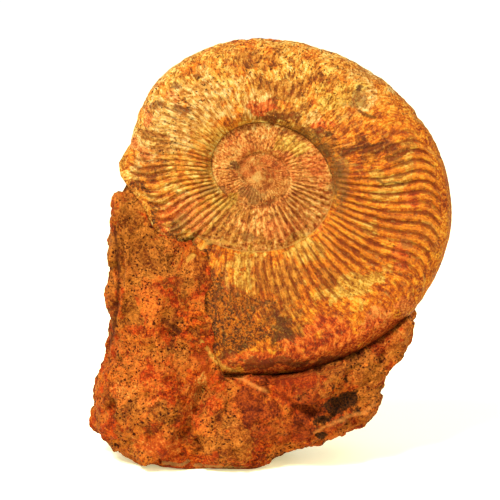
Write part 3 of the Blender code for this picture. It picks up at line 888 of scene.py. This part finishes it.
def span(tree, value, low, high, start=0.0, end=1.0):
    """A smooth rise from start to end while the value goes from low to high."""
    step = tree.nodes.new("ShaderNodeMapRange")
    step.interpolation_type = "SMOOTHSTEP"
    for entry, socket in zip((value, low, high, start, end), step.inputs):
        feed(tree, entry, socket)
    return step.outputs[0]


def blend(tree, factor, under, over):
    """One colour laid over another."""
    step = tree.nodes.new("ShaderNodeMix")
    step.data_type = "RGBA"
    for number, entry in ((0, factor), (6, under), (7, over)):
        feed(tree, entry, step.inputs[number])
    return step.outputs[2]


def lay(tree, mask, share, paint, under):
    """A paint laid over the colour so far, where the mask is and as thick as the share."""
    return blend(tree, times(tree, mask, share), under, pigment(*paint))


def shades(tree, value, paints, places):
    """Paints along a scale, each at its place."""
    ramp = tree.nodes.new("ShaderNodeValToRGB")
    feed(tree, value, ramp.inputs[0])
    marks = ramp.color_ramp.elements
    marks[0].position, marks[1].position = places[0], places[-1]
    for place in places[1:-1]:
        marks.new(place)
    for mark, paint in zip(marks, paints):
        mark.color = pigment(*paint)
    return ramp.outputs[0]


def clouds(tree, place, scale, detail, roughness, distortion=0.0):
    """Soft noise between 0 and 1."""
    step = tree.nodes.new("ShaderNodeTexNoise")
    for name, value in (("Vector", place), ("Scale", scale), ("Detail", detail),
                        ("Roughness", roughness), ("Distortion", distortion)):
        feed(tree, value, step.inputs[name])
    return step.outputs[0]


def kept(tree, name):
    """A value kept on the corners of the piece."""
    step = tree.nodes.new("ShaderNodeAttribute")
    step.attribute_name = name
    return step.outputs["Fac"]


def new_group(name, inputs, outputs):
    """An empty group of nodes: itself, what comes in and what goes out. Place is a vector."""
    group = bpy.data.node_groups.new(name, "ShaderNodeTree")
    for titles, way in ((inputs, "INPUT"), (outputs, "OUTPUT")):
        for title in titles:
            kind = "NodeSocketVector" if title == "Place" else "NodeSocketFloat"
            group.interface.new_socket(name=title, in_out=way, socket_type=kind)
    entry = group.nodes.new("NodeGroupInput")
    leave = group.nodes.new("NodeGroupOutput")
    return group, entry.outputs, leave.inputs


def use_group(tree, group, **values):
    """Put a group to use in a material."""
    step = tree.nodes.new("ShaderNodeGroup")
    step.node_tree = group
    for name, value in values.items():
        feed(tree, value, step.inputs[name])
    return step.outputs


def make_ragged():
    """A mask whose edge is broken up the way a stain or a chip breaks up."""
    group, given, result = new_group("ragged", ("Place", "Mask"), ("Mask",))
    broad = clouds(group, given["Place"], 170.0, 3.0, 0.65, 0.6)
    fine = clouds(group, given["Place"], 620.0, 3.0, 0.7)
    noise_sum = times_plus(group, broad, 2.4, times(group, fine, 1.4))
    body = times(group, given["Mask"], 0.95)
    lifted = maths(group, "ADD", maths(group, "SUBTRACT", noise_sum, 1.9), body)
    present = span(group, given["Mask"], 0.02, 0.25)
    feed(group, times(group, span(group, lifted, 0.24, 0.68), present), result["Mask"])
    return group


def make_mottle():
    """Natural unevenness of colour, from hand-wide clouds down to single grains."""
    group, given, result = new_group("mottle", ("Place",), ("Broad", "Middle", "Fine"))
    for name, scale, roughness, distortion, low in (("Broad", 55.0, 0.6, 0.5, 0.30),
                                                    ("Middle", 260.0, 0.65, 0.4, 0.30),
                                                    ("Fine", 1050.0, 0.7, 0.0, 0.28)):
        noise_field = clouds(group, given["Place"], scale, 3.0, roughness, distortion)
        feed(group, span(group, noise_field, low, 1.0 - low), result[name])
    return group


def make_grain_pits():
    """Small holes of uneven size left by fallen grains, each in a paler net."""
    group, given, result = new_group("grain_pits", ("Place", "Density"), ("Pit", "Net", "Height"))
    drift = group.nodes.new("ShaderNodeTexNoise")
    feed(group, given["Place"], drift.inputs["Vector"])
    drift.inputs["Scale"].default_value = 520.0
    drift.inputs["Detail"].default_value = 2.0
    pushed = group.nodes.new("ShaderNodeVectorMath")
    pushed.operation = "MULTIPLY_ADD"
    feed(group, drift.outputs["Color"], pushed.inputs[0])
    pushed.inputs[1].default_value = (PIT_DRIFT, PIT_DRIFT, PIT_DRIFT)
    feed(group, given["Place"], pushed.inputs[2])
    pit = net = 0.0
    for scale, share, least, more in PIT_SIZES:
        cells = group.nodes.new("ShaderNodeTexVoronoi")
        feed(group, pushed.outputs[0], cells.inputs["Vector"])
        cells.inputs["Scale"].default_value = scale
        parts = group.nodes.new("ShaderNodeSeparateColor")
        feed(group, cells.outputs["Color"], parts.inputs[0])
        density = times(group, given["Density"], share)
        chosen = maths(group, "LESS_THAN", parts.outputs[0], density)
        size = times_plus(group, parts.outputs[1], more, least)
        inner = maths(group, "SUBTRACT", size, PIT_WALL)
        hole = times(group, span(group, cells.outputs["Distance"], size, inner), chosen)
        rim = times(group, span(group, cells.outputs["Distance"], 0.34, 0.60), density)
        pit = maths(group, "MAXIMUM", hole, pit)
        net = maths(group, "MAXIMUM", rim, net)
    feed(group, pit, result["Pit"])
    feed(group, net, result["Net"])
    feed(group, times_plus(group, pit, -1.0, times(group, net, 0.35)), result["Height"])
    return group


def make_cracks():
    """Thin crooked dark lines, broken off here and there."""
    group, given, result = new_group("cracks", ("Place",), ("Line",))
    bent = clouds(group, given["Place"], 150.0, 5.0, 0.62, 1.2)
    off_middle = maths(group, "ABSOLUTE", maths(group, "SUBTRACT", bent, 0.5))
    where = span(group, clouds(group, given["Place"], 70.0, 2.0, 0.6, 0.3), 0.48, 0.58)
    feed(group, times(group, span(group, off_middle, 0.011, 0.002), where), result["Line"])
    return group


RAGGED = make_ragged()
MOTTLE = make_mottle()
GRAIN_PITS = make_grain_pits()
CRACKS = make_cracks()


def start_material(name):
    """A new material, its shader, the place on the piece, and its broad, middle and fine mottle."""
    material = bpy.data.materials.new(name)
    material.use_nodes = True
    tree = material.node_tree
    place = tree.nodes.new("ShaderNodeTexCoord").outputs["Object"]
    mottle = use_group(tree, MOTTLE, Place=place)
    return material, tree, tree.nodes["Principled BSDF"], place, mottle


def stain(tree, place, name, share, paint, under):
    """Lay one kind of patch over the colour so far."""
    mask = use_group(tree, RAGGED, Place=place, Mask=kept(tree, name))["Mask"]
    return blend(tree, times(tree, mask, share), under, paint)


def stain_all(tree, place, tone, stains, colour):
    """Lay several kinds of patches over the colour so far, one after another."""
    for name, share, *paints in stains:
        paint = shades(tree, tone, paints, STAIN_STOPS) if len(paints) > 1 else pigment(*paints[0])
        colour = stain(tree, place, name, share, paint, colour)
    return colour


def veil_all(tree, place, veils, detail, bend, width, held, colour):
    """Lay cloudy veils over the colour so far; held says where they hold."""
    for scale, low, share, paint in veils:
        cover = span(tree, clouds(tree, place, scale, detail, *bend), low, low + width, 0.0, share)
        colour = lay(tree, cover, held, paint, colour)
    return colour


def draw_lines(tree, lines, colour):
    """Lay the kept thin lines of a piece over the colour so far."""
    for name, share, paint in lines:
        colour = lay(tree, kept(tree, name), share, paint, colour)
    return colour


def finish_shader(tree, shader, colour, roughness, shine, height, distance):
    """Give the shader its colour and finish, and turn the height into fine relief."""
    feed(tree, colour, shader.inputs["Base Color"])
    feed(tree, roughness, shader.inputs["Roughness"])
    shader.inputs["Specular IOR Level"].default_value = shine
    bump = tree.nodes.new("ShaderNodeBump")
    bump.inputs["Distance"].default_value = distance
    bump.inputs["Strength"].default_value = 1.0
    feed(tree, height, bump.inputs["Height"])
    feed(tree, bump.outputs["Normal"], shader.inputs["Normal"])


def make_rock_material():
    """Rusty oolitic ironstone: red and orange, olive above, full of grain pits, with painted light low on
    the left and painted shade low on the right and under the shell.
    """
    material, tree, shader, place, mottle = start_material("rusty_oolite")
    middle, fine = mottle["Middle"], mottle["Fine"]
    tone = times_plus(tree, mottle["Broad"], 0.34, times(tree, middle, 0.42))
    tone = maths(tree, "SUBTRACT", times_plus(tree, fine, 0.64, tone), 0.25)
    colour = shades(tree, tone, RUST, ROCK_STOPS)
    colour = veil_all(tree, place, ROCK_VEILS, 4.0, (0.68, 0.7), 0.09, 1.0, colour)
    colour = stain_all(tree, place, tone, ROCK_STAINS, colour)
    bright = span(tree, clouds(tree, place, 560.0, 4.0, 0.75, 0.6), 0.57, 0.65)
    colour = lay(tree, bright, 0.30, (252, 166, 72), colour)

    smooth = kept(tree, "smooth")
    bare = times_plus(tree, smooth, -0.85, 1.0)
    thick = span(tree, clouds(tree, place, 75.0, 3.0, 0.6, 0.5), 0.44, 0.56)
    pits = use_group(tree, GRAIN_PITS, Place=place, Density=times(tree, thick, bare))
    colour = lay(tree, pits["Net"], 0.74, (248, 160, 72), colour)
    colour = lay(tree, smooth, 0.40, (134, 50, 10), colour)
    grit = clouds(tree, place, 640.0, 3.0, 0.7, 0.5)
    colour = lay(tree, span(tree, grit, 0.57, 0.63, 0.0, 0.32), bare, (255, 172, 78), colour)
    colour = lay(tree, span(tree, grit, 0.43, 0.37, 0.0, 0.50), bare, (94, 30, 2), colour)
    purple = shades(tree, tone, ROCK_PURPLE, STAIN_STOPS)
    colour = stain(tree, place, "purple", 1.0, purple, colour)
    colour = stain(tree, place, "black", 1.0, shades(tree, fine, ROCK_BLACK, BLACK_STOPS), colour)
    colour = stain(tree, place, "grey", 0.6, pigment(196, 164, 120), colour)
    colour = lay(tree, pits["Pit"], 0.95, (72, 24, 2), colour)
    cracks = maths(tree, "MAXIMUM", use_group(tree, CRACKS, Place=place)["Line"], kept(tree, "crack"))
    colour = lay(tree, cracks, 0.8, (70, 22, 2), colour)
    colour = draw_lines(tree, ROCK_LINES, colour)
    height = times_plus(tree, cracks, -0.8, times(tree, pits["Height"], 0.8))
    height = times_plus(tree, middle, 0.9, height)
    height = times_plus(tree, times(tree, fine, bare), 0.60, height)
    roughness = span(tree, fine, 0.2, 0.8, 0.70, 0.90)
    finish_shader(tree, shader, colour, roughness, 0.05, height, ROCK_BUMP)
    return material


def make_shell_material():
    """Pale tan to orange fossil shell, stained and speckled, with painted shade between the ribs and painted
    highlights on their crests.
    """
    material, tree, shader, place, mottle = start_material("fossil_shell")
    broad, middle, fine = mottle["Broad"], mottle["Middle"], mottle["Fine"]
    share = kept(tree, "share")
    film = kept(tree, "film")
    rib_place = kept(tree, "rib_place")
    along_ribs, across_ribs = (tree.nodes.new("ShaderNodeCombineXYZ") for _ in range(2))
    for ribs, turns, rows in ((along_ribs, 1.0, 3.6), (across_ribs, 2.2, 6.0)):
        feed(tree, times(tree, rib_place, turns), ribs.inputs[0])
        feed(tree, times(tree, share, rows), ribs.inputs[1])
    streaks = span(tree, clouds(tree, along_ribs.outputs[0], 3.0, 4.0, 0.72), 0.32, 0.68)
    mottled = times_plus(tree, broad, 0.18, times(tree, middle, 0.46))
    film_tone = times_plus(tree, fine, 0.80, maths(tree, "SUBTRACT", mottled, 0.22))
    tone = times_plus(tree, streaks, 0.60, mottled)
    tone = maths(tree, "SUBTRACT", times_plus(tree, fine, 0.30, tone), 0.27)
    keel = span(tree, share, 0.82, 0.93)
    tone = times_plus(tree, maths(tree, "SUBTRACT", film_tone, tone), keel, tone)
    side = span(tree, clouds(tree, place, 75.0, 4.0, 0.65, 0.8), 0.49, 0.58, 0.0, 0.85)
    side = maths(tree, "MAXIMUM", kept(tree, "orange_side"), side)
    calm = times_plus(tree, side, -0.55, 1.0)
    tan, orange, pink = (shades(tree, tone, paints, SHELL_STOPS) for paints in (TAN, ORANGE, PINK))
    colour = blend(tree, side, tan, orange)
    colour = veil_all(tree, along_ribs.outputs[0], SHELL_VEILS, 5.0, (0.72,), 0.07, calm, colour)
    colour = blend(tree, kept(tree, "umbilicus"), colour, pink)
    colour = stain_all(tree, place, tone, SHELL_STAINS, colour)
    colour = stain(tree, place, "film", 1.0, shades(tree, film_tone, SHELL_FILM, FILM_STOPS), colour)
    colour = stain_all(tree, place, tone, SHELL_STAINS_OVER_FILM, colour)
    rust = span(tree, clouds(tree, place, 310.0, 4.0, 0.72, 0.3), 0.56, 0.66)
    colour = lay(tree, rust, 0.40, (176, 78, 18), colour)
    bright = span(tree, clouds(tree, place, 410.0, 4.0, 0.75, 0.6), 0.57, 0.66, 0.0, 0.40)
    colour = lay(tree, bright, calm, (255, 212, 126), colour)

    relief = kept(tree, "relief")
    crisp = span(tree, clouds(tree, place, 110.0, 4.0, 0.65, 0.5), 0.40, 0.60, 0.45, 1.0)
    crisp = maths(tree, "MAXIMUM", crisp, kept(tree, "crisp"))
    # Painted shade in the troughs between the ribs, and a painted highlight on their crests, as strong as
    # crisp says.
    colour = lay(tree, span(tree, relief, 0.05, -0.55, 0.0, 0.84), crisp, (136, 60, 6), colour)
    crest = times(tree, span(tree, relief, 0.05, 0.60, 0.0, 0.44), crisp)
    crest_highlight_paint = blend(tree, side, pigment(252, 214, 136), pigment(242, 156, 58))
    colour = blend(tree, crest, colour, crest_highlight_paint)
    grey_wall = span(tree, clouds(tree, place, 330.0, 4.0, 0.7, 0.5), 0.42, 0.58, 0.30, 0.90)
    colour = lay(tree, grey_wall, kept(tree, "wall"), (118, 88, 50), colour)
    colour = draw_lines(tree, SHELL_LINES, colour)
    worn = kept(tree, "crust")
    specks = span(tree, clouds(tree, place, 900.0, 2.0, 0.55), 0.60, 0.68)
    specks = times(tree, specks, span(tree, worn, 0.0, 1.0, 0.45, 0.95))
    dashes = span(tree, clouds(tree, across_ribs.outputs[0], 1.9, 3.0, 0.7), 0.60, 0.66)
    dashes = times(tree, dashes, span(tree, worn, 0.0, 1.0, 0.40, 0.95))
    specks = maths(tree, "MAXIMUM", specks, dashes)
    colour = blend(tree, specks, colour, pigment(88, 40, 6))
    grit = clouds(tree, place, 680.0, 3.0, 0.7, 0.5)
    colour = lay(tree, span(tree, grit, 0.58, 0.63, 0.0, 0.32), calm, (255, 226, 140), colour)
    colour = lay(tree, span(tree, grit, 0.42, 0.37), 0.36, (134, 64, 6), colour)
    holes = maths(tree, "MAXIMUM", times(tree, film, 0.7), span(tree, broad, 0.3, 0.9, 0.02, 0.16))
    pits = use_group(tree, GRAIN_PITS, Place=place, Density=holes)
    colour = lay(tree, times(tree, pits["Net"], film), 0.30, (214, 136, 36), colour)
    colour = lay(tree, pits["Pit"], 0.7, (96, 46, 10), colour)
    height = times_plus(tree, fine, 0.55, times(tree, middle, 0.5))
    height = times_plus(tree, streaks, 0.35, height)
    height = times_plus(tree, specks, -0.5, height)
    roughness = span(tree, middle, 0.2, 0.8, 0.55, 0.78)
    finish_shader(tree, shader, colour, roughness, 0.08, height, SHELL_BUMP)
    return material


keep_shell_zones(shell)
for piece, name, lines, half_width in ((shell, "rim", RIM_LINES, 1.25), (rock, "rim", RIM_LINES, 1.25),
                                       (rock, "ledge", LEDGE_LINES, 1.2), (rock, "crack", CRACK_LINES, 1.2),
                                       (shell, "crack", FLAKE_LINES, 0.8)):
    keep_lines(piece, name, lines, half_width)
keep_patches(shell, SHELL_PATCHES, SHELL_PATCH_SEED)
keep_patches(rock, ROCK_PATCHES, ROCK_PATCH_SEED)
for piece, node, slot, material in ((shell, "ammonite", "fossil_shell", make_shell_material()),
                                    (rock, "matrix_rock", "host_rock", make_rock_material())):
    piece.data.materials.clear()
    piece.data.materials.append(material)
    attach(piece, "root")
    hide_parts(node)


def place_in_view(name, thing, place, direction):
    """Hang a camera or a lamp at a place, looking in a direction."""
    holder = bpy.data.objects.new(name, thing)
    bpy.context.collection.objects.link(holder)
    holder.location = place
    holder.rotation_mode = "QUATERNION"
    holder.rotation_quaternion = direction.to_track_quat("-Z", "Y")
    return holder


def make_camera():
    """The photograph's view: straight on and a little from above."""
    eye = bpy.data.cameras.new("camera")
    eye.sensor_width = SENSOR_WIDTH
    eye.lens = SENSOR_WIDTH * CAMERA_DISTANCE / VIEW_WIDTH
    eye.clip_start = 0.01
    eye.clip_end = 20.0
    back = Vector((0.0, -math.cos(CAMERA_RISE), math.sin(CAMERA_RISE)))
    bpy.context.scene.camera = place_in_view("camera", eye, CAMERA_AIM + back * CAMERA_DISTANCE, -back)


def soft_light(name, place, size, power, colour):
    """A large soft lamp that looks at the middle of the specimen."""
    lamp = bpy.data.lights.new(name, "AREA")
    lamp.shape = "SQUARE"
    lamp.size = size
    lamp.energy = power
    lamp.color = colour
    place_in_view(name, lamp, place, CAMERA_AIM - Vector(place))


def make_studio():
    """White surroundings, a pale floor and two soft lamps."""
    world = bpy.data.worlds.new("white_room")
    bpy.context.scene.world = world
    world.use_nodes = True
    background = world.node_tree.nodes["Background"]
    background.inputs["Color"].default_value = (1.0, 1.0, 1.0, 1.0)
    background.inputs["Strength"].default_value = 1.06
    soft_light("key_light", (-0.52, -0.70, 1.15), 0.40, 52.0, (1.0, 0.98, 0.94))
    soft_light("fill_light", (0.55, -1.0, 0.7), 0.9, 7.0, (1.0, 1.0, 1.0))
    deselect_all()
    bpy.ops.mesh.primitive_circle_add(vertices=64, radius=3.0, fill_type="NGON")
    floor = bpy.context.object
    floor.name = "floor"
    pale = bpy.data.materials.new("white_floor")
    pale.use_nodes = True
    shader = pale.node_tree.nodes["Principled BSDF"]
    shader.inputs["Base Color"].default_value = (0.98, 0.96, 0.60, 1.0)
    shader.inputs["Roughness"].default_value = 0.35
    shader.inputs["Emission Color"].default_value = (1.0, 0.96, 0.55, 1.0)
    shader.inputs["Emission Strength"].default_value = 0.42
    floor.data.materials.append(pale)
    bpy.context.scene.view_settings.view_transform = "Standard"


make_camera()
make_studio()
